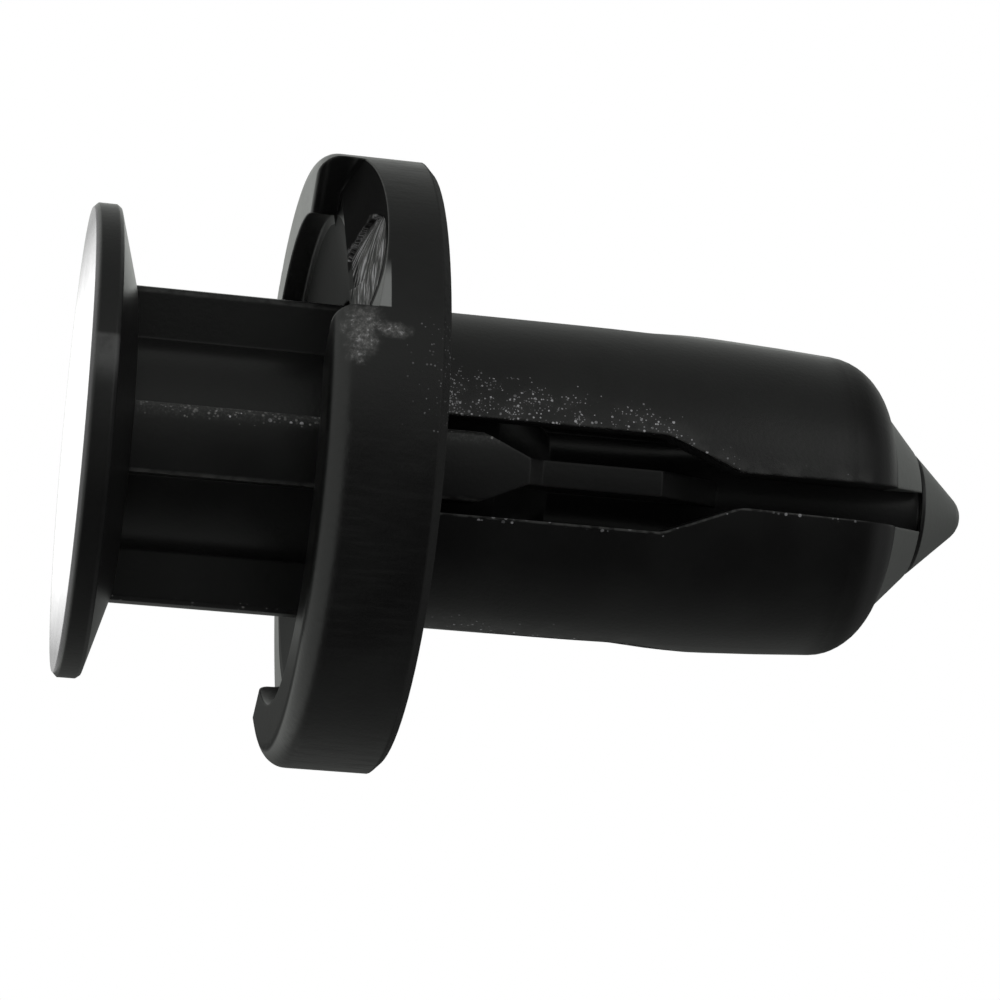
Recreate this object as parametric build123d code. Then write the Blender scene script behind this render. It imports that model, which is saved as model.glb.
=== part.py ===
from build123d import *
import os
from math import asin, atan2, degrees, sqrt

# Bumper clip: a push pin that spreads the four legs of a flanged grommet.
# The clip stands on the pin's head at z = 0 and its tip points up. The pin is pulled out.
# All sizes in millimetres, all heights measured from the face of the pin's head.

# Overall lengths
pull_out = 6.65          # head face to flange face with the pin pulled out
barrel_length = 16.45    # flange seat to leg ends
seat_gap = 0.02          # left between head and recess at full travel

# Flange
flange_dia = 19.1
flange_thick = 3.45
flange_front_round = 0.7
flange_back_chamfer = 0.25

# Pin head and the recess that takes it
head_dia = 14.6
head_rim = 0.8           # thickness at the rim
head_cone = 0.7          # further rise of the underside towards the shank
head_face_chamfer = 0.15
head_back_chamfer = 0.1
head_clearance = 0.35    # round the rim, in the recess
recess_depth = 0.8

# Pry notches in the flange face: angle from -Y towards -X, and depth at the flange rim
notch_angles = (50.0, 217.0)
notch_depths = (1.65, 0.95)
notch_width = 8.0
notch_inset = 0.25       # floor slopes from this far inside the recess out to the rim
notch_floor_round = 0.8  # on the side with the larger angle
notch_lip_round = 0.35

# Round dimple of the mould's gate, on the first notch's floor
gate_dia = 2.4
gate_depth = 0.12
gate_reach = 8.25        # from the clip's axis
gate_offset = 0.6        # towards the side with the smaller angle

# Pin shank: a core with four fins
fin_reach = 4.9          # radius over the fins
fin_width = 2.1
fin_edge_chamfer = 0.12
fin_thin = 0.8           # width beyond the wedge
fin_drop = 0.5           # step of the thin fin's edge, inwards
core_dia = 6.8
neck_dia = 3.2
wedge_above_seat = 1.85  # start of the wedge above the flange, with the pin pulled out
wedge_length = 1.45
thin_fin_length = 4.2
fin_runout = 2.6
fin_sink = 0.2           # how far the runout ends inside the neck
core_runout = 2.0

# Pin tip
tip_base_dia = 3.9
tip_length = 1.85
tip_round = 0.85
tip_gap = 0.08           # under the tip's shoulder, above the leg ends
tip_shoulder = 0.12

# Barrel and legs
barrel_dia = 10.2        # just above the flange
barrel_end_dia = 9.6     # before the nose
barrel_straight = 5.0    # above the flange, before the legs draw in
core_clearance = 0.1
core_end_gap = 0.045     # from the core's end to the bore's taper at full travel
neck_clearance = 0.15
fin_side_gap = 0.425     # each side of a fin, in the wide slot
wedge_gap = 0.04         # each side of a wedge, in the ramp at full travel
thin_side_gap = 0.13     # each side of a thin fin, where the narrow slot begins
slot_flare = 0.1         # each side, from there to the leg ends
fin_reach_gap = 0.15     # over the fins, in the flange
ramp_length = 2.35
ramp_round = 1.0
bore_taper_length = 4.0
nose_length = 2.9
nose_edge_dia = 6.8      # where the rounded shoulder meets the end bevel
nose_bevel = 1.2
leg_end_dia = 4.3

# Cutters and rounds
past = 1.0               # how far a cutter runs past what it cuts
round_share = 0.9        # the most of its wall that a round takes

# Heights and radii that follow
flange_face = pull_out
flange_seat = flange_face + flange_thick
leg_end = flange_seat + barrel_length
recess_floor = flange_face + recess_depth
travel = recess_floor - head_rim - seat_gap
head_under = head_rim + head_cone
recess_dia = head_dia + 2 * head_clearance
tip_base = leg_end + tip_gap
slot_width = fin_width + 2 * fin_side_gap
narrow_slot = fin_thin + 2 * thin_side_gap
bore_dia = core_dia + 2 * core_clearance
neck_bore_dia = neck_dia + 2 * neck_clearance
nose_start = leg_end - nose_length
nose_edge = leg_end - nose_bevel
notch_start = recess_dia / 2 - notch_inset
wedge_start = flange_seat + wedge_above_seat
core_end = wedge_start + wedge_length / 2
ramp_slope = (slot_width - narrow_slot) / 2 / ramp_length
ramp_start = wedge_start + travel - (fin_side_gap - wedge_gap) / ramp_slope
bore_taper_start = core_end + travel + core_end_gap


def turned(section):
    """Solid of revolution about Z from a (radius, height) face."""
    return revolve(Plane.XZ * section, Axis.Z)


def corner(face, x, y):
    """The corner of a flat face that lies at a point."""
    return face.vertices().sort_by_distance(Vector(x, y))[0]


def from_axis(edge):
    """Distance of an edge's middle from the clip's axis."""
    middle = edge @ 0.5
    return sqrt(middle.X ** 2 + middle.Y ** 2)


def cross_bars(profile, reach):
    """Two crossed bars through the axis, from a (width, height) profile."""
    bar = extrude(Plane.XZ * profile, reach, both=True)
    return bar + Rot(Z=90) * bar


def tapering_profile(levels, bend_round=0.0):
    """Symmetric face from (width, height) levels, with its inner bends rounded."""
    right = [(width / 2, height) for width, height in levels]
    left = [(-x, height) for x, height in reversed(right)]
    face = make_face(Polyline(*right, *left, close=True))
    if not bend_round:
        return face
    bends = [v for v in face.vertices() if levels[0][1] < v.Y < levels[-1][1]]
    return fillet(bends, bend_round)


def rounded_point(base_radius, base_height, apex_height, ball_radius):
    """Flank and ball of a cone with a rounded point, from its base edge to the axis."""
    base = Vector(base_radius, base_height)
    ball = Vector(0, apex_height - ball_radius)
    to_ball = ball - base
    lean = degrees(asin(ball_radius / to_ball.length))
    flank = sqrt(to_ball.length ** 2 - ball_radius ** 2)
    touch = base + to_ball.normalized().rotate(Axis.Z, -lean) * flank
    start = degrees(atan2(touch.Y - ball.Y, touch.X))
    return [Line(base, touch), CenterArc(ball, ball_radius, start, 90 - start)]


def pin_body():
    """Head, core, neck and tip as one turned solid."""
    core = core_dia / 2
    neck = neck_dia / 2
    rim = head_dia / 2
    apex = tip_base + tip_length
    lower = Polyline(
        (0, apex),
        (0, 0),
        (rim, 0),
        (rim, head_rim),
        (fin_reach, head_under),
        (core, head_under),
        (core, core_end),
        (neck, core_end + core_runout),
        (neck, tip_base),
        (tip_base_dia / 2, tip_base),
        (tip_base_dia / 2, tip_base + tip_shoulder),
    )
    point = rounded_point(tip_base_dia / 2, tip_base + tip_shoulder, apex, tip_round)
    section = make_face([*lower.edges(), *point])
    section = chamfer(corner(section, rim, 0), head_face_chamfer)
    section = chamfer(corner(section, rim, head_rim), head_back_chamfer)
    return turned(section)


def pin_fins():
    """Four fins with their wedges, cut to the radius that they have at each height."""
    wedge_end = wedge_start + wedge_length
    thin_end = wedge_end + thin_fin_length
    fin_end = thin_end + fin_runout
    profile = tapering_profile([
        (fin_width, head_rim),
        (fin_width, wedge_start),
        (fin_thin, wedge_end),
        (fin_thin, fin_end),
    ])
    reach = turned(make_face(Polyline(
        (0, head_rim),
        (fin_reach, head_rim),
        (fin_reach, wedge_end),
        (fin_reach - fin_drop, wedge_end + fin_drop),
        (fin_reach - fin_drop, thin_end),
        (neck_dia / 2 - fin_sink, fin_end),
        (0, fin_end),
        close=True,
    )))
    fins = cross_bars(profile, 2 * fin_reach) & reach
    outer_edges = fins.edges().filter_by(Axis.Z).group_by(from_axis)[-1]
    return chamfer(outer_edges, fin_edge_chamfer)


def pin():
    """The inner moulding."""
    return pin_body() + pin_fins()


def grommet_body():
    """Flange, barrel and nose as one turned solid, with recess and bore."""
    bore = bore_dia / 2
    rim = flange_dia / 2
    throat_floor = recess_floor + head_cone
    floor_slope = head_cone / (head_dia / 2 - fin_reach)
    draw_in = (barrel_dia / 2, flange_seat + barrel_straight)
    shoulder = (barrel_end_dia / 2, nose_start)
    front = Polyline(
        (bore, throat_floor),
        (fin_reach, throat_floor),
        (recess_dia / 2, recess_floor - floor_slope * head_clearance),
        (recess_dia / 2, flange_face),
        (rim, flange_face),
        (rim, flange_seat),
        (barrel_dia / 2, flange_seat),
        draw_in,
    )
    leg = TangentArc(draw_in, shoulder, tangent=(0, 1))
    nose = TangentArc(shoulder, (nose_edge_dia / 2, nose_edge), tangent=leg % 1)
    inside = Polyline(
        (nose_edge_dia / 2, nose_edge),
        (leg_end_dia / 2, leg_end),
        (neck_bore_dia / 2, leg_end),
        (neck_bore_dia / 2, bore_taper_start + bore_taper_length),
        (bore, bore_taper_start),
        (bore, throat_floor),
    )
    section = make_face([*front.edges(), leg, nose, *inside.edges()])
    front_round = min(flange_front_round, round_share * (rim - recess_dia / 2))
    section = fillet(corner(section, rim, flange_face), front_round)
    section = chamfer(corner(section, rim, flange_seat), flange_back_chamfer)
    return turned(section)


def leg_slots():
    """Four slots that pass the fins through the flange and part the barrel into legs."""
    ramp_end = ramp_start + ramp_length
    profile = tapering_profile([
        (slot_width, flange_face),
        (slot_width, ramp_start),
        (narrow_slot, ramp_end),
        (narrow_slot + 2 * slot_flare, leg_end + past),
    ], ramp_round)
    inner = fin_reach + fin_reach_gap
    reach = turned(make_face(Polyline(
        (0, flange_face),
        (inner, flange_face),
        (inner, flange_seat),
        (barrel_dia, flange_seat),
        (barrel_dia, leg_end + past),
        (0, leg_end + past),
        close=True,
    )))
    return cross_bars(profile, barrel_dia) & reach


def pry_notch(depth):
    """A channel across the flange rim along +X, with a sloping floor and one rounded side."""
    half = notch_width / 2
    rim = flange_dia / 2
    floor = flange_face + depth
    below = flange_face - past
    floor_round = min(notch_floor_round, round_share * (depth - notch_lip_round))
    across = make_face(Polyline(
        (half, below),
        (half, floor),
        (-half, floor),
        (-half, flange_face),
        (-half - past, flange_face),
        (-half - past, below),
        close=True,
    ))
    across = fillet(corner(across, -half, floor), floor_round)
    across = fillet(corner(across, -half, flange_face), notch_lip_round)
    along = make_face(Polyline(
        (fin_reach, below),
        (rim + past, below),
        (rim + past, floor + notch_slope(depth) * past),
        (notch_start, recess_floor),
        (fin_reach, recess_floor),
        close=True,
    ))
    return extrude(Plane.YZ * across, rim + past) & extrude(Plane.XZ * along, notch_width, both=True)


def notch_slope(depth):
    """Rise of a notch's floor for each millimetre outwards."""
    return (depth - recess_depth) / (flange_dia / 2 - notch_start)


def gate_dimple(depth):
    """Shallow round dimple, square to the sloping floor of a notch of this depth."""
    slope = notch_slope(depth)
    height = recess_floor + slope * (gate_reach - notch_start)
    floor = Plane(origin=(gate_reach, gate_offset, height), x_dir=(1, 0, slope), z_dir=(-slope, 0, 1))
    return extrude(floor * Circle(gate_dia / 2), gate_depth, both=True)


def grommet():
    """The outer moulding."""
    body = grommet_body() - leg_slots()
    for angle, depth in zip(notch_angles, notch_depths):
        body -= Rot(Z=-90 - angle) * pry_notch(depth)
    return body - Rot(Z=-90 - notch_angles[0]) * gate_dimple(notch_depths[0])


os.makedirs("parts", exist_ok=True)
for name, solid in {"grommet": grommet(), "pin": pin()}.items():
    export_step(solid, f"parts/{name}.step")
    print(name, "volume", round(solid.volume, 2), "box", solid.bounding_box())
print("travel", travel)
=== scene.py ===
from math import cos, radians, sin, tau

import bpy
from mathutils import Matrix, Vector

# The look of a black moulded bumper clip: a finned pin pulled out of its flanged grommet.
# Sizes are in millimetres and turned into metres by MM where they meet Blender.
# A pair for step() is the value at which a mark is absent and the one at which it is full.
MM = 0.001

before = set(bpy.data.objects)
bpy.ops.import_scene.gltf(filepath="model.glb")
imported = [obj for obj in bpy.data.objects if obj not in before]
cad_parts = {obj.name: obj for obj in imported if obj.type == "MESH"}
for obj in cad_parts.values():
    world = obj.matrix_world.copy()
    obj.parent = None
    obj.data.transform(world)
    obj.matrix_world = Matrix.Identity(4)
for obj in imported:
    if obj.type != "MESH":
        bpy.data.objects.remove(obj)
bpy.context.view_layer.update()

# Where the photograph was taken from
FOCAL_PX = 3200.0        # focal length in pixels of the 1000-pixel frame
FRAME_PX = 1000.0
SENSOR = 36.0
AXIS_AWAY = 10.3         # degrees that the tip points away from the camera
AXIS_DOWN = 5.1          # degrees that the tip points below the picture's right
SLOT_TURN = 3.0          # degrees that the near slot is turned up from facing the camera
DISTANCE = 100.6         # from the camera to the aimed point
AIM_HEIGHT = 13.4        # height on the axis of the aimed point
AIM_UP_PX = 22.0         # the aimed point's height above the picture's centre
NEAREST = 1.0            # the camera sees nothing nearer than this
FARTHEST = 10000.0       # or farther than this

# Stage
FLOOR_SIZE = 900.0
FLOOR_DROP = 0.02        # under the head's face, so that the two never coincide
FLOOR_COLOUR = (0.86, 0.86, 0.86, 1)
HEAD_COVER = 7.25        # radius of floor that the head's face reflects, as a white backdrop

# Light on the clip, white at 1
PLAIN_BELOW = 0.65       # on colours, from the picture's bottom
PLAIN_ABOVE = 0.95
PLAIN_ENDS = 0.25        # more of it from past the head and past the tip
END_LIGHT = 0.25         # in reflections, past the head and past the tip
END_EDGE = (0.82, 0.95)
LOW_LIGHT = 0.70         # in reflections, from below the camera's level
LOW_EDGE = (-0.17, -0.42)
BACKDROP = 1.9           # in the reflection of the head's face, at its middle
BACKDROP_SIDES = 0.76
BACKDROP_FADE = (4.4, 6.6)
# In reflections round the clip: degrees from the picture's top over the camera, and brightness
ROUND_LIGHT = ((-180, 0.11), (-140, 0.20), (-115, 0.14), (-96, 0.18), (-87, 0.95), (-76, 0.95),
               (-62, 0.40), (-30, 0.24), (0, 0.20), (25, 0.27), (45, 0.40), (68, 0.26),
               (88, 0.05), (115, 0.01), (150, 0.01), (180, 0.11))
LIGHT_TINT = (0.97, 1.0, 0.96, 1)
KEY_TOWARDS = (0.80, 0.45, 0.40)     # in the picture: right, up, towards the camera
KEY_DISTANCE = 300.0
KEY_SIDE = 200.0
KEY_POWER = 0.05

# Heights and radii of the grommet, as the maker's model has them
FLANGE_FACE = 6.65
FLANGE_SEAT = 10.10
FLANGE_RADIUS = 9.55
RECESS_FLOOR = 7.45
RECESS_TOP = 8.3
RECESS_RADIUS = 7.65
BARREL_LEAST = 4.75      # least radius of the legs' outside, before the nose
SLOT_HALF = 1.475        # half width of a slot, as far as its ramp
NARROW_HALF = 0.53
RAMP_START = 17.62
RAMP_END = 19.97
SHOULDER_START = 23.0    # where the barrel begins to bend into its nose
SHOULDER_FULL = 24.4
NOSE_EDGE = 25.35        # where the end bevel begins

# The pin's fins, neck, tip and head
FIN_REACH = 4.9
FIN_HALF = 1.05
TIP_START = 26.63
HEAD_RADIUS = 7.3

# Moulded black, and the colours of its marks
BLACK = (0.0030, 0.0029, 0.0030, 1)
BLACK_PALE = (0.0043, 0.0044, 0.0043, 1)
PIN_BLACK = (0.0045, 0.0044, 0.0045, 1)
PIN_PALE = (0.0060, 0.0061, 0.0060, 1)
INNER = (0.010, 0.010, 0.010, 1)
# painted shadow along the crease at the edge of the first notch's lens
CREASE_SHADOW = (0.002, 0.002, 0.002, 1)
WORN = (0.045, 0.046, 0.044, 1)
# painted light on the legs' end bevel and the pin's tip, which face the light past the tip
END_PAINTED_LIGHT = (0.044, 0.047, 0.044, 1)
# a rubbed patch on the head's rim, partly a painted highlight
RUB_AND_HIGHLIGHT = (0.052, 0.053, 0.052, 1)
SCUFFED = (0.13, 0.13, 0.125, 1)
# painted reflection on the first notch's floor and painted edge highlight on its lip
PAINTED_REFLECTION = (0.135, 0.140, 0.135, 1)
DUST = (0.34, 0.34, 0.35, 1)

# Gloss and grain of the moulding
PLASTIC_IOR = 1.5
MATT_SPECULAR = 0.1
ROUGH_LEAST = 0.25
ROUGH_SPREAD = 0.08
CLOUD_EDGE = (0.35, 0.70)
GRAIN_ROUGH = 0.06
GRAIN_HEIGHT = 0.006
EDGE_SOFT = 0.10         # radius of the moulding's edges in the light
EDGE_SAMPLES = 6
# Roughness that a mark adds
ROUGH_WORN = 0.1
ROUGH_FIN = 0.15
ROUGH_SCUFF = 0.2
ROUGH_DUST = 0.3
ROUGH_LENS = 0.35
ROUGH_CREASE = 0.4

# Widths over which the edges of marks fade
HAIR = 0.02
FINE = 0.05
SOFT = 0.10

# Specks: cells to the millimetre, share of them taken, size in the cell, strength
FINE_DUST = (14.0, 0.8, 0.50, 0.6)
COARSE_DUST = (8.5, 0.7, 0.45, 0.8)
SLOT_DUST = (7.0, 0.4, 0.45, 0.4)
SEAT_DUST = (10.0, 0.5, 0.38, 0.2)
FIN_FLECKS = (10.0, 0.9, 0.50, 1.0)
FIN_DUST = (6.0, 0.5, 0.40, 1.0)
SPECK_LEAST = 0.3        # smallest speck, of the largest
SPECK_FAINT = 0.25       # faintest speck, of the strongest
SPECK_EDGE = 0.08

# Clouds: features to the millimetre, detail, roughness
SHADE_CLOUDS = (0.5, 3, 0.5)
GRAIN = (7.0, 3, 0.6)
NOTCH_RAGS = (3.0, 3, 0.5)
SCUFF_RAGS = (2.2, 3, 0.5)
SCUFF_RUBS = (9.0, 3, 0.7)
STROKES = (1.0, 3, 0.65)

# Patches: the same, and the pair for step()
DUST_CLUMPS = (1.6, 2, 0.5, 0.38, 0.60)
EDGE_BREAKS = (4.0, 2, 0.5, 0.38, 0.60)
RIM_STREAKS = (1.0, 3, 0.6, 0.40, 0.80)
FIN_BREAKS = (3.0, 3, 0.5, 0.35, 0.62)
FIN_SCRAPES = (11.0, 3, 0.7, 0.45, 0.65)
HEAD_SMEAR = (2.5, 3, 0.6, 0.25, 0.60)


class Socket:
    """A node socket that can be used in sums; each operation adds a Math node."""

    def __init__(self, tree, socket):
        self.tree = tree
        self.socket = socket

    def math(self, operation, *values):
        return self.tree.add("ShaderNodeMath", {"operation": operation}, [self, *values])

    def __add__(self, other):
        return self.math("ADD", other)

    def __sub__(self, other):
        return self.math("SUBTRACT", other)

    def __rsub__(self, other):
        return self.tree.add("ShaderNodeMath", {"operation": "SUBTRACT"}, [other, self])

    def __mul__(self, other):
        return self.math("MULTIPLY", other)

    def __truediv__(self, other):
        return self.math("DIVIDE", other)

    def __pow__(self, other):
        return self.math("POWER", other)

    def __abs__(self):
        return self.math("ABSOLUTE")

    __radd__ = __add__
    __rmul__ = __mul__

    def step(self, low, high):
        """0 at low, 1 at high, smooth between; low may be the larger."""
        ends = {"Value": self, "From Min": low, "From Max": high}
        return self.tree.add("ShaderNodeMapRange", {"interpolation_type": "SMOOTHSTEP"}, ends)

    def ramp(self, low, high, start, end):
        """start at low, end at high, straight between."""
        ends = {"Value": self, "From Min": low, "From Max": high, "To Min": start, "To Max": end}
        return self.tree.add("ShaderNodeMapRange", {"interpolation_type": "LINEAR"}, ends)

    def band(self, low, high, soft):
        """1 between low and high, with soft edges."""
        return self.step(low - soft, low) * (1 - self.step(high, high + soft))


class Tree:
    """The nodes of one material or world."""

    def __init__(self, owner):
        owner.use_nodes = True
        self.nodes = owner.node_tree.nodes
        self.links = owner.node_tree.links
        self.nodes.clear()

    def node(self, kind, settings=None, inputs=()):
        """A new node with its settings made first and then its inputs set or linked."""
        node = self.nodes.new(kind)
        for name, value in (settings or {}).items():
            if name == "stops":
                self.set_stops(node.color_ramp.elements, value)
            else:
                setattr(node, name, value)
        pairs = inputs.items() if isinstance(inputs, dict) else enumerate(inputs)
        for key, value in pairs:
            if isinstance(value, Socket):
                self.links.new(value.socket, node.inputs[key])
            else:
                node.inputs[key].default_value = value
        return node

    def set_stops(self, elements, stops):
        """Greys of a ramp, from (place, grey) pairs."""
        while len(elements) < len(stops):
            elements.new(1.0)
        for element, (place, grey) in zip(elements, stops):
            element.position = place
            element.color = (grey, grey, grey, 1)

    def add(self, kind, settings=None, inputs=(), output=0):
        """The chosen output of a new node."""
        return Socket(self, self.node(kind, settings, inputs).outputs[output])

    def mix(self, share, first, second):
        """First colour where share is 0, second where it is 1."""
        ends = {0: share, 6: first, 7: second}
        return self.add("ShaderNodeMix", {"data_type": "RGBA"}, ends, 2)

    def clouds(self, at, scale, detail, rough):
        """Cloudy values from 0 to 1."""
        values = {"Vector": at, "Scale": scale, "Detail": detail, "Roughness": rough}
        return self.add("ShaderNodeTexNoise", inputs=values)

    def patches(self, at, kind):
        """1 in patches of one kind and 0 between them."""
        return self.clouds(at, *kind[:3]).step(*kind[3:])

    def vector(self, *parts):
        """A vector from three values."""
        return self.add("ShaderNodeCombineXYZ", inputs=parts)

    def specks(self, at, scale, share, size):
        """Small round spots, one in each cell of which the share is taken."""
        cell = self.node("ShaderNodeTexVoronoi", {"feature": "F1"}, {"Vector": at, "Scale": scale})
        chance = self.node("ShaderNodeSeparateColor", inputs=[Socket(self, cell.outputs["Color"])])
        drawn, large, strong = (Socket(self, chance.outputs[i]) for i in range(3))
        reach = large * (size * (1 - SPECK_LEAST)) + size * SPECK_LEAST
        inside = reach - Socket(self, cell.outputs["Distance"])
        taken = (share - drawn).step(0, HAIR)
        return inside.step(0, SPECK_EDGE) * taken * (strong * (1 - SPECK_FAINT) + SPECK_FAINT)


class Spot:
    """Where a point of the clip lies, in millimetres in the clip's own frame."""

    def __init__(self, tree):
        metres = tree.add("ShaderNodeTexCoord", output="Object")
        scaled = {"Vector": metres, "Scale": 1 / MM}
        self.at = tree.add("ShaderNodeVectorMath", {"operation": "SCALE"}, scaled)
        parts = tree.node("ShaderNodeSeparateXYZ", inputs=[self.at])
        self.places = [Socket(tree, parts.outputs[i]) for i in range(3)]
        self.x, self.y, self.z = self.places
        self.near = 0 - self.y       # from the axis towards the near slot
        self.radius = (self.x * self.x + self.y * self.y) ** 0.5

    def turned(self, angle):
        """Distances along and across a direction, turned from the near slot to the upper one."""
        out = Vector((-sin(radians(angle)), -cos(radians(angle))))
        across = Vector((cos(radians(angle)), -sin(radians(angle))))
        return self.x * out.x + self.y * out.y, self.x * across.x + self.y * across.y

    def slot_side(self):
        """Distance from the middle plane of the nearest slot, and 1 on that slot's upper side."""
        across = abs(self.x).math("MINIMUM", abs(self.y))
        side = self.x * self.y * (abs(self.x) - abs(self.y))
        return across, side.step(HAIR, -HAIR)


class Finish:
    """Colour, roughness, height and dullness of a moulding, to which marks are added."""

    def __init__(self, name, dark, pale):
        self.material = bpy.data.materials.new(name)
        self.tree = Tree(self.material)
        self.spot = Spot(self.tree)
        clouds = self.tree.clouds(self.spot.at, *SHADE_CLOUDS)
        grain = self.tree.clouds(self.spot.at, *GRAIN)
        self.colour = self.tree.mix(clouds.step(*CLOUD_EDGE), dark, pale)
        self.rough = clouds * ROUGH_SPREAD + grain * GRAIN_ROUGH + ROUGH_LEAST
        self.height = grain * GRAIN_HEIGHT
        self.dull = None

    def mark(self, where, colour, rough=None):
        """Another colour where the mask is 1, and more roughness."""
        self.colour = self.tree.mix(where, self.colour, colour)
        if rough is not None:
            self.roughen(where, rough)

    def roughen(self, where, rough):
        """More roughness, or less, where the mask is 1."""
        self.rough = self.rough + where * rough

    def raise_by(self, where, height):
        """A rise, or a dip, where the mask is 1."""
        self.height = self.height + where * height

    def deaden(self, where):
        """No gloss where the mask is 1."""
        self.dull = where if self.dull is None else self.dull + where

    def strew(self, where, kind, colour):
        """Specks of one kind, as thick as the mask."""
        scale, share, size, strength = kind
        specks = self.tree.specks(self.spot.at, scale, where * share, size)
        self.mark(specks * strength, colour, ROUGH_DUST)

    def close(self):
        """Joins it all in one plastic shader, mixed with a matt one where the finish is dull."""
        tree = self.tree
        soft_edges = tree.add(
            "ShaderNodeBevel", {"samples": EDGE_SAMPLES}, {"Radius": EDGE_SOFT * MM})
        relief = tree.add("ShaderNodeBump", inputs={
            "Strength": 1.0, "Distance": MM, "Height": self.height, "Normal": soft_edges})
        shared = {"Base Color": self.colour, "Normal": relief, "IOR": PLASTIC_IOR}
        surface = tree.add("ShaderNodeBsdfPrincipled", inputs={**shared, "Roughness": self.rough})
        if self.dull is not None:
            matt = tree.add("ShaderNodeBsdfPrincipled", inputs={
                **shared, "Roughness": 1.0, "Specular IOR Level": MATT_SPECULAR})
            surface = tree.add("ShaderNodeMixShader", inputs=[self.dull, surface, matt])
        tree.node("ShaderNodeOutputMaterial", inputs={"Surface": surface})
        return self.material


def oval(first, second, first_weight, second_weight):
    """Distance from a middle, from the distances in two directions and their weights."""
    return (first * first * first_weight + second * second * second_weight) ** 0.5


def camera_axes():
    """The row frame's X, Y and Z as the camera sees them: right, up, towards the viewer."""
    away, down, turn = radians(AXIS_AWAY), radians(AXIS_DOWN), radians(SLOT_TURN)
    axis = Vector((cos(away) * cos(down), -cos(away) * sin(down), -sin(away)))
    viewer = Vector((0, 0, 1))
    near = (viewer - axis * viewer.dot(axis)).normalized()
    up = near.cross(axis)
    slot = near * cos(turn) + up * sin(turn)
    side = up * cos(turn) - near * sin(turn)
    return -side, -slot, axis


def place_camera():
    """A camera at the photograph's viewing angle."""
    data = bpy.data.cameras.new("photo_camera")
    data.sensor_width = SENSOR
    data.lens = FOCAL_PX / FRAME_PX * SENSOR
    data.clip_start = NEAREST * MM
    data.clip_end = FARTHEST * MM
    turn = Matrix(camera_axes())
    aim_in_camera = Vector((0, AIM_UP_PX / FOCAL_PX * DISTANCE, -DISTANCE)) * MM
    place = Vector((0, 0, AIM_HEIGHT * MM)) - turn @ aim_in_camera
    camera = bpy.data.objects.new("photo_camera", data)
    camera.matrix_world = Matrix.Translation(place) @ turn.to_4x4()
    bpy.context.scene.collection.objects.link(camera)
    bpy.context.scene.camera = camera


def floor_material():
    """Pale floor seen from above only; in reflections it is open, and white under the head."""
    material = bpy.data.materials.new("pale_floor")
    tree = Tree(material)
    behind = tree.add("ShaderNodeNewGeometry", output="Backfacing")
    glossy = tree.add("ShaderNodeLightPath", output="Is Glossy Ray")
    spot = Spot(tree)
    under_head = spot.radius.step(HEAD_COVER + HAIR / 2, HEAD_COVER - HAIR / 2)
    pale = tree.add("ShaderNodeBsdfDiffuse", inputs={"Color": FLOOR_COLOUR})
    clear = tree.add("ShaderNodeBsdfTransparent")
    brightness = abs(spot.x).ramp(*BACKDROP_FADE, BACKDROP, BACKDROP_SIDES)
    white = tree.add("ShaderNodeEmission", inputs={"Color": brightness})
    direct = tree.add("ShaderNodeMixShader", inputs=[behind, pale, clear])
    mirrored = tree.add("ShaderNodeMixShader", inputs=[under_head, clear, white])
    both = tree.add("ShaderNodeMixShader", inputs=[glossy, direct, mirrored])
    tree.node("ShaderNodeOutputMaterial", inputs={"Surface": both})
    return material


def lay_floor():
    """A plain floor under the pin's head."""
    half = FLOOR_SIZE / 2 * MM
    height = -FLOOR_DROP * MM
    mesh = bpy.data.meshes.new("floor")
    corners = [(x * half, y * half, height) for x, y in ((-1, -1), (1, -1), (1, 1), (-1, 1))]
    mesh.from_pydata(corners, [], [(0, 1, 2, 3)])
    mesh.materials.append(floor_material())
    floor = bpy.data.objects.new("floor", mesh)
    bpy.context.scene.collection.objects.link(floor)


def light_world():
    """White to the camera, plain light on colours, and a studio with a dark side in reflections."""
    world = bpy.data.worlds.new("studio")
    bpy.context.scene.world = world
    tree = Tree(world)
    picture = Matrix(camera_axes())
    out = tree.add("ShaderNodeTexCoord", output="Generated")
    right, up, viewer = (
        tree.add("ShaderNodeVectorMath", {"operation": "DOT_PRODUCT"}, [out, tuple(axis)], "Value")
        for axis in picture.col)
    turn = viewer.math("ARCTAN2", up) / tau + 0.5
    stops = [(degrees_round / 360 + 0.5, grey) for degrees_round, grey in ROUND_LIGHT]
    level = tree.add("ShaderNodeValToRGB", {"stops": stops}, [turn])
    ends = abs(right).step(*END_EDGE)
    level = level * (1 - ends) + ends * END_LIGHT
    height = tree.add("ShaderNodeSeparateXYZ", inputs=[out], output="Z")
    low = height.step(*LOW_EDGE)
    level = level * (1 - low) + low * LOW_LIGHT
    plain = up.ramp(-1, 1, PLAIN_BELOW, PLAIN_ABOVE) + abs(right) * PLAIN_ENDS
    path = tree.node("ShaderNodeLightPath")
    seen = Socket(tree, path.outputs["Is Camera Ray"])
    glossy = Socket(tree, path.outputs["Is Glossy Ray"])
    strength = (plain * (1 - glossy) + level * glossy) * (1 - seen) + seen
    tint = tree.mix(glossy, (1, 1, 1, 1), LIGHT_TINT)
    light = tree.add("ShaderNodeBackground", inputs={"Color": tint, "Strength": strength})
    tree.node("ShaderNodeOutputWorld", inputs={"Surface": light})


def hang_softbox():
    """A large soft lamp above the tip, on the camera's side."""
    data = bpy.data.lights.new("softbox", "AREA")
    data.size = KEY_SIDE * MM
    data.energy = KEY_POWER
    lamp = bpy.data.objects.new("softbox", data)
    ray = (Matrix(camera_axes()) @ Vector(KEY_TOWARDS)).normalized()
    lamp.location = (Vector((0, 0, AIM_HEIGHT)) + ray * KEY_DISTANCE) * MM
    lamp.rotation_euler = ray.to_track_quat("Z", "Y").to_euler()
    lamp.visible_camera = False
    bpy.context.scene.collection.objects.link(lamp)


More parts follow.
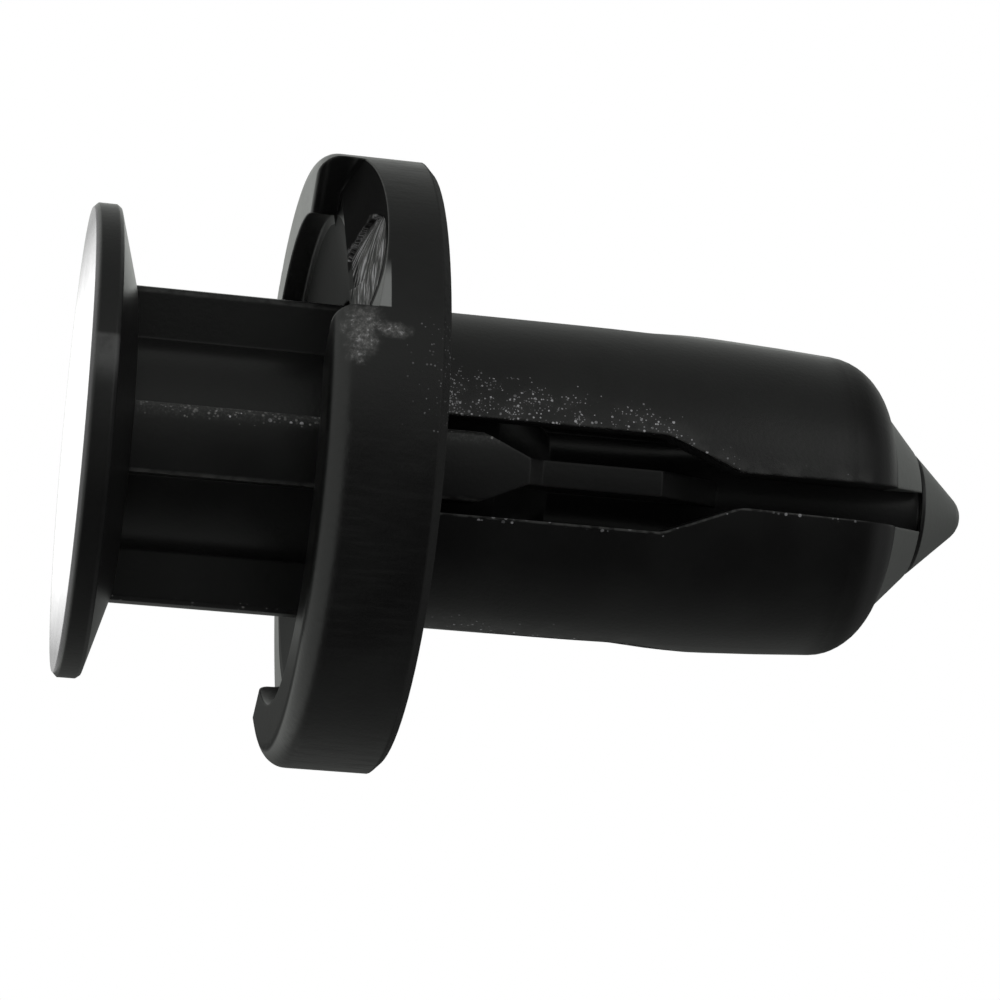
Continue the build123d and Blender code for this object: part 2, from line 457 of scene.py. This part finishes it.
# Dust and wear on the legs beside the slots
DUST_REACH = (2.1, 0.6)          # out from the slot, at the flange and at DUST_END
DUST_END = 20.0
DUST_SHARE = (1.6, 0.1)          # at the flange and at DUST_LAST
DUST_LAST = 20.5
DUST_TO_EDGE = (-0.05, 0.08)
DUST_FULL = 0.95                 # of its reach inwards, where it is thickest
CLUMP_LEAST = 0.2                # dust left between the clumps
NEAR_LEGS = (3.2, 4.2)           # towards the near slot, where dust is thick
OTHER_LEGS = 0.1                 # dust on the others
DUST_FILM = 0.08
LINE_WIDTH = 0.05                # of a slot's worn edge
LINE_FADE = 0.04
LINE_LOWER = 0.55                # strength on a slot's lower side, and how much less on the upper
LINE_LESS = 0.35
SLOT_DUST_WIDTH = 0.12
BORE_START = (0.2, 1.5)          # above the flange's seat
BORE_DEPTH = 0.3                 # inside the barrel's outside
LEG_DULL = 0.7


def dust_legs(finish):
    """Dust along each slot's upper side, thickest at the flange; worn edges, bore, and the nose,
    with painted light on its bevel.
    """
    tree, spot = finish.tree, finish.spot
    across, upper = spot.slot_side()
    edge = across - spot.z.ramp(RAMP_START, RAMP_END, SLOT_HALF, NARROW_HALF)
    outside = spot.radius.step(BARREL_LEAST - SOFT, BARREL_LEAST)
    outside = outside * spot.z.step(FLANGE_SEAT - FINE, FLANGE_SEAT + SOFT)
    reach = spot.z.ramp(FLANGE_SEAT, DUST_END, *DUST_REACH)
    dusty = (1 - edge / reach).step(0, DUST_FULL) * edge.step(*DUST_TO_EDGE) * upper * outside
    clumps = tree.patches(spot.at, DUST_CLUMPS) * (1 - CLUMP_LEAST) + CLUMP_LEAST
    front = spot.near.step(*NEAR_LEGS) * (1 - OTHER_LEGS) + OTHER_LEGS
    share = dusty * front * spot.z.ramp(FLANGE_SEAT, DUST_LAST, *DUST_SHARE) * clumps
    finish.mark(dusty * clumps * DUST_FILM, SCUFFED)
    finish.strew(share, FINE_DUST, DUST)
    finish.strew(share, COARSE_DUST, DUST)
    line = edge.band(0.0, LINE_WIDTH, LINE_FADE) * outside * tree.patches(spot.at, EDGE_BREAKS)
    finish.mark(line * (LINE_LOWER - upper * LINE_LESS), WORN, ROUGH_WORN)
    lower_edge = edge.band(0.0, SLOT_DUST_WIDTH, FINE) * outside * (1 - upper)
    finish.strew(lower_edge, SLOT_DUST, DUST)
    bore = (1 - outside) * spot.radius.step(BARREL_LEAST, BARREL_LEAST - BORE_DEPTH)
    bore = bore * spot.z.step(*(FLANGE_SEAT + start for start in BORE_START))
    bevel = spot.z.step(NOSE_EDGE, NOSE_EDGE + FINE) * (1 - edge.step(0, -FINE))
    finish.mark(bore * (1 - bevel), INNER)
    # painted light on the end bevel
    finish.mark(bevel, END_PAINTED_LIGHT, ROUGH_SCUFF)
    shoulder = spot.z.step(SHOULDER_START, SHOULDER_FULL)
    finish.deaden(bore.math("MAXIMUM", shoulder) * (1 - bevel) * LEG_DULL)


# The first pry notch, along it (out from the axis) and across it
NOTCH_ANGLE = 50.0               # from the near slot towards the upper one
NOTCH_HALF = 4.0
NOTCH_SIDE = (6.0, 6.5)          # out, past which a mark lies on this notch's side of the flange
FLOOR_INNER = 7.4                # where its floor meets the recess
FLOOR_RISE = 0.395               # of its floor for each millimetre outwards
FLOOR_NEAR = (0.20, 0.12)        # distance from the floor
LENS_START = (-0.35, 0.20)       # across, with an edge as ragged as LENS_RAGGED
LENS_RAGGED = 0.8
LENS_EDGE = (1.0, 0.97)
CREASE_MIDDLE = (7.3, 1.1)
CREASE_REACH = (2.075, 2.60)
CREASE_BAND = (0.975, 1.03, 0.03)
CREASE_OUT = (8.0, 8.3)
CREASE_ACROSS = (0.1, 0.7)
CREASE_HEIGHT = -0.06
STROKES_MIDDLE = (8.85, 1.9)
STROKES_ALONG = (-0.278, 0.961)
STROKES_HALF = 2.1               # from their middle to where they meet
STROKES_LEAST = 0.08
STROKES_SCALE = (9.0, 0.8)       # beside and along them
STROKES_GREY = (0.42, 0.60)
STROKES_PALE = (0.54, 0.63)
STROKES_HEIGHT = 0.03
BEYOND_RING = (1.03, 1.06)       # the floor beyond the crease, with a painted reflection
BEYOND_ACROSS = (0.6, 2.2)
LIP_TOP = 8.30                   # end of the painted edge highlight on the rim's lip beside it
LIP_ACROSS = (2.3, 3.1)
LIP_FADE = 0.015
DULL_ACROSS = (2.6, 1.6)
DULL_RAGGED = 0.6


def scuff_notch(finish):
    """The first pry notch: a dull floor, a scratched lens with a painted shadow along its crease,
    painted reflections beyond it and on the lip.
    """
    tree, spot = finish.tree, finish.spot
    out, across = spot.turned(NOTCH_ANGLE)
    above_floor = spot.z - ((out - FLOOR_INNER) * FLOOR_RISE + RECESS_FLOOR)
    floor = abs(above_floor).step(*FLOOR_NEAR) * out.step(FLOOR_INNER - FINE, FLOOR_INNER)
    floor = floor * abs(across).step(NOTCH_HALF + HAIR / 2, NOTCH_HALF - HAIR)
    floor = floor * spot.radius.step(FLANGE_RADIUS - HAIR / 2, FLANGE_RADIUS - FINE)
    ring = oval(out - CREASE_MIDDLE[0], across - CREASE_MIDDLE[1],
                *(1 / reach ** 2 for reach in CREASE_REACH))
    from_middle = (out - STROKES_MIDDLE[0], across - STROKES_MIDDLE[1])
    along = from_middle[0] * STROKES_ALONG[0] + from_middle[1] * STROKES_ALONG[1]
    beside = from_middle[0] * STROKES_ALONG[1] - from_middle[1] * STROKES_ALONG[0]
    meet = (1 - along * along / STROKES_HALF ** 2).math("MAXIMUM", STROKES_LEAST) ** 0.5
    fan = tree.vector(beside / meet * STROKES_SCALE[0], along * STROKES_SCALE[1], 0.0)
    strokes = tree.clouds(fan, *STROKES)
    ragged = tree.clouds(spot.at, *NOTCH_RAGS)
    lens = ring.step(*LENS_EDGE) * (across + ragged * LENS_RAGGED).step(*LENS_START) * floor
    finish.mark(lens, BLACK, ROUGH_LENS)
    finish.mark(lens * strokes.step(*STROKES_GREY), SCUFFED)
    finish.mark(lens * strokes.step(*STROKES_PALE), DUST)
    finish.raise_by(lens * (strokes - 0.5), STROKES_HEIGHT)
    # a painted shadow line along the crease, darker than the moulding, over a small dip
    crease_shadow = ring.band(*CREASE_BAND) * across.step(*CREASE_ACROSS) * out.step(*CREASE_OUT) * floor
    finish.mark(crease_shadow, CREASE_SHADOW, ROUGH_CREASE)
    finish.raise_by(crease_shadow, CREASE_HEIGHT)
    # painted reflection on the floor beyond the crease, and a painted edge highlight on the rim's
    # lip
    reflected_floor = floor * ring.step(*BEYOND_RING) * across.step(*BEYOND_ACROSS)
    lip_highlight = spot.radius.step(FLANGE_RADIUS - 1.5 * HAIR, FLANGE_RADIUS - HAIR / 2)
    lip_highlight = lip_highlight * spot.z.step(LIP_TOP + LIP_FADE, LIP_TOP - LIP_FADE) * out.step(*NOTCH_SIDE)
    lip_highlight = lip_highlight * across.step(*LIP_ACROSS) * across.step(NOTCH_HALF, NOTCH_HALF - 2 * HAIR)
    finish.mark((reflected_floor + lip_highlight).math("MINIMUM", 1.0), PAINTED_REFLECTION, ROUGH_SCUFF)
    finish.deaden(floor * (1 - lens) * (across + ragged * DULL_RAGGED).step(*DULL_ACROSS))


# Scuffs on the flange's rim beside the first notch
RIM_START = (9.2, 9.4)
SCUFF_ACROSS = 4.65              # middle of the scuffed patch
SCUFF_HEIGHT = 7.5
SCUFF_WEIGHTS = (1.2, 2.4)
TAIL_HEIGHT = 8.3                # middle of its tail, towards the seat
TAIL_WEIGHTS = (12.0, 1.5)
TAIL_SHORT = 0.15
SCUFF_RAGGED = 1.4
SCUFF_EDGE = (1.15, 0.20)
SCUFF_SIDE = (3.95, 4.10)        # across, past the notch's side
RUB_GREY = (0.36, 0.66)
RUB_GREY_STRENGTH = (0.22, 0.45)     # least, and more in its patches
RUB_PALE = (0.58, 0.70)
RUB_PALE_STRENGTH = 0.5
SEAT_DUST_HEIGHT = (8.4, 9.9)
SEAT_DUST_ACROSS = (4.5, 6.6, 0.6)
SEAT_DUST_OUT = (5.5, 6.5)
STREAK_SCALE = (6.0, 6.0, 0.8)       # streaks that run along the clip
STREAK_ROUGH = 0.12
BACK_EDGE_RADIUS = (9.15, 9.30)
BACK_EDGE_HEIGHT = (9.78, 9.88)
BACK_EDGE_ROUGH = 0.45
RECESS_ROUGH = 0.3
RECESS_DULL = 0.45
FACE_SIDE = (2.0, 7.0)           # of the flange's face, towards the second notch
FACE_DULL = 0.8


def scuff_flange(finish):
    """Scuffs on the flange's rim beside the first notch, dust along its seat, and dull faces."""
    tree, spot = finish.tree, finish.spot
    out, across = spot.turned(NOTCH_ANGLE)
    rim = spot.radius.step(*RIM_START)
    patch = oval(across - SCUFF_ACROSS, spot.z - SCUFF_HEIGHT, *SCUFF_WEIGHTS)
    tail = oval(across - SCUFF_ACROSS, spot.z - TAIL_HEIGHT, *TAIL_WEIGHTS)
    ragged = (tree.clouds(spot.at, *SCUFF_RAGS) - 0.5) * SCUFF_RAGGED
    worn = (patch.math("MINIMUM", tail + TAIL_SHORT) + ragged).step(*SCUFF_EDGE)
    worn = worn * rim * out.step(*NOTCH_SIDE) * across.step(*SCUFF_SIDE)
    rubbed = tree.clouds(spot.at, *SCUFF_RUBS)
    grey = rubbed.step(*RUB_GREY) * RUB_GREY_STRENGTH[1] + RUB_GREY_STRENGTH[0]
    finish.mark(worn * grey, SCUFFED, ROUGH_SCUFF)
    finish.mark(worn * rubbed.step(*RUB_PALE) * RUB_PALE_STRENGTH, DUST, ROUGH_DUST)
    seat = rim * spot.z.step(*SEAT_DUST_HEIGHT) * across.band(*SEAT_DUST_ACROSS)
    finish.strew(seat * out.step(*SEAT_DUST_OUT), SEAT_DUST, DUST)
    drawn_out = tree.vector(*(place * scale for place, scale in zip(spot.places, STREAK_SCALE)))
    finish.roughen(tree.patches(drawn_out, RIM_STREAKS) * rim, STREAK_ROUGH)
    back_edge = spot.radius.step(*BACK_EDGE_RADIUS) * spot.z.step(*BACK_EDGE_HEIGHT)
    finish.roughen(back_edge, BACK_EDGE_ROUGH)
    recess = spot.radius.step(RECESS_RADIUS + HAIR, RECESS_RADIUS)
    recess = recess * spot.z.band(RECESS_FLOOR - HAIR, RECESS_TOP, HAIR / 2)
    finish.roughen(recess, RECESS_ROUGH)
    face = spot.z.step(FLANGE_FACE + 3 * HAIR, FLANGE_FACE + HAIR) * spot.x.step(*FACE_SIDE)
    finish.deaden(recess * RECESS_DULL + face * FACE_DULL)


def grommet_finish():
    """The outer moulding's finish."""
    finish = Finish("grommet_moulding", BLACK, BLACK_PALE)
    dust_legs(finish)
    scuff_notch(finish)
    scuff_flange(finish)
    return finish.close()


# Wear on the pin, and a painted highlight on its head's rim
NEAR_FINS = (2.5, 4.0)           # towards the near slot, where the fin is rubbed and dusty
OTHER_FINS = 0.15                # wear on the others
FIN_SPAN = (1.6, 13.4)           # heights between which the fins' edges are rubbed
FIN_OUTER = (0.20, 0.08)         # inside the fins' reach
FIN_LINE = (0.16, 0.04)          # in from a fin's side
FIN_LINE_STRENGTH = 0.5
RUB_INWARDS = (0.55, 0.05)       # in from a fin's upper side
SCRAPE_LEAST = 0.3
SCRAPE_STRENGTH = 0.8
WEDGE_DUST = 0.15                # dust on the wedge beyond the flange, of that before it
NARROW_START = (13.3, 13.6)      # the narrow part of the fins
NARROW_RADIUS = (1.5, 1.8)
NARROW_END = (20.5, 20.2)
NECK_START = (18.5, 20.0)
FACE_POLISH = -0.16
FACE_HEIGHT = (0.03, 0.0)
HEAD_RIM = (0.12, 0.02)          # inside the head's radius
HEAD_HEIGHT = (0.9, 0.8)
HEAD_NEAR = (5.0, 5.5)
PATCH_START = (-2.80, -2.66)     # the rubbed patch on the head's rim, partly a painted highlight
PATCH_END = (-1.1, -2.2)
SMEAR_LEAST = 0.5


def rub_fins(finish):
    """Rubbed edges of the fins, with dust caught along their upper sides."""
    tree, spot = finish.tree, finish.spot
    across, upper = spot.slot_side()
    inwards = FIN_HALF - across
    outer = spot.radius.step(*(FIN_REACH - depth for depth in FIN_OUTER))
    outer = outer * spot.z.band(*FIN_SPAN, SOFT)
    line = inwards.step(*FIN_LINE) * outer * (1 - upper) * tree.patches(spot.at, FIN_BREAKS)
    finish.mark(line * FIN_LINE_STRENGTH, WORN)
    front = spot.near.step(*NEAR_FINS) * (1 - OTHER_FINS) + OTHER_FINS
    rubbed = inwards.step(*RUB_INWARDS) * upper * outer * front
    scrapes = tree.patches(spot.at, FIN_SCRAPES) * (1 - SCRAPE_LEAST) + SCRAPE_LEAST
    finish.mark(rubbed * scrapes * SCRAPE_STRENGTH, WORN, ROUGH_FIN)
    before_flange = spot.z.step(FLANGE_SEAT, FLANGE_FACE) * (1 - WEDGE_DUST) + WEDGE_DUST
    finish.strew(rubbed * before_flange, FIN_FLECKS, SCUFFED)
    finish.strew(rubbed * before_flange, FIN_DUST, DUST)


def pin_finish():
    """The inner moulding's finish: a paler neck, painted light on the tip, rubbed fins, and a
    rubbed head rim with a painted highlight.
    """
    finish = Finish("pin_moulding", PIN_BLACK, PIN_PALE)
    tree, spot = finish.tree, finish.spot
    narrow = spot.z.step(*NARROW_START) * spot.z.step(*NARROW_END)
    finish.mark(narrow * spot.radius.step(*NARROW_RADIUS), BLACK)
    neck = spot.z.step(*NECK_START) * spot.z.step(TIP_START + HAIR, TIP_START - HAIR)
    finish.mark(neck, INNER)
    tip = spot.z.step(TIP_START + SOFT, TIP_START + SOFT + 2 * HAIR)
    # painted light on the tip's cone
    finish.mark(tip, END_PAINTED_LIGHT, ROUGH_SCUFF)
    rub_fins(finish)
    finish.roughen(spot.z.step(*FACE_HEIGHT), FACE_POLISH)
    rim = spot.radius.step(*(HEAD_RADIUS - depth for depth in HEAD_RIM))
    rim = rim * spot.z.step(*HEAD_HEIGHT) * spot.near.step(*HEAD_NEAR)
    patch = spot.x.step(*PATCH_START) * spot.x.step(*PATCH_END)
    smear = tree.patches(spot.at, HEAD_SMEAR) * (1 - SMEAR_LEAST) + SMEAR_LEAST
    # rubbed patch, partly a painted highlight where the head's rim catches the light
    finish.mark(rim * patch * smear, RUB_AND_HIGHLIGHT, ROUGH_WORN)
    return finish.close()


def dress(node, material):
    """Gives a CAD node its finish."""
    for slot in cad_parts[node].material_slots:
        slot.material = material


scene = bpy.context.scene
scene.view_settings.view_transform = "Standard"
place_camera()
lay_floor()
light_world()
hang_softbox()

dress("grommet", grommet_finish())
dress("pin", pin_finish())
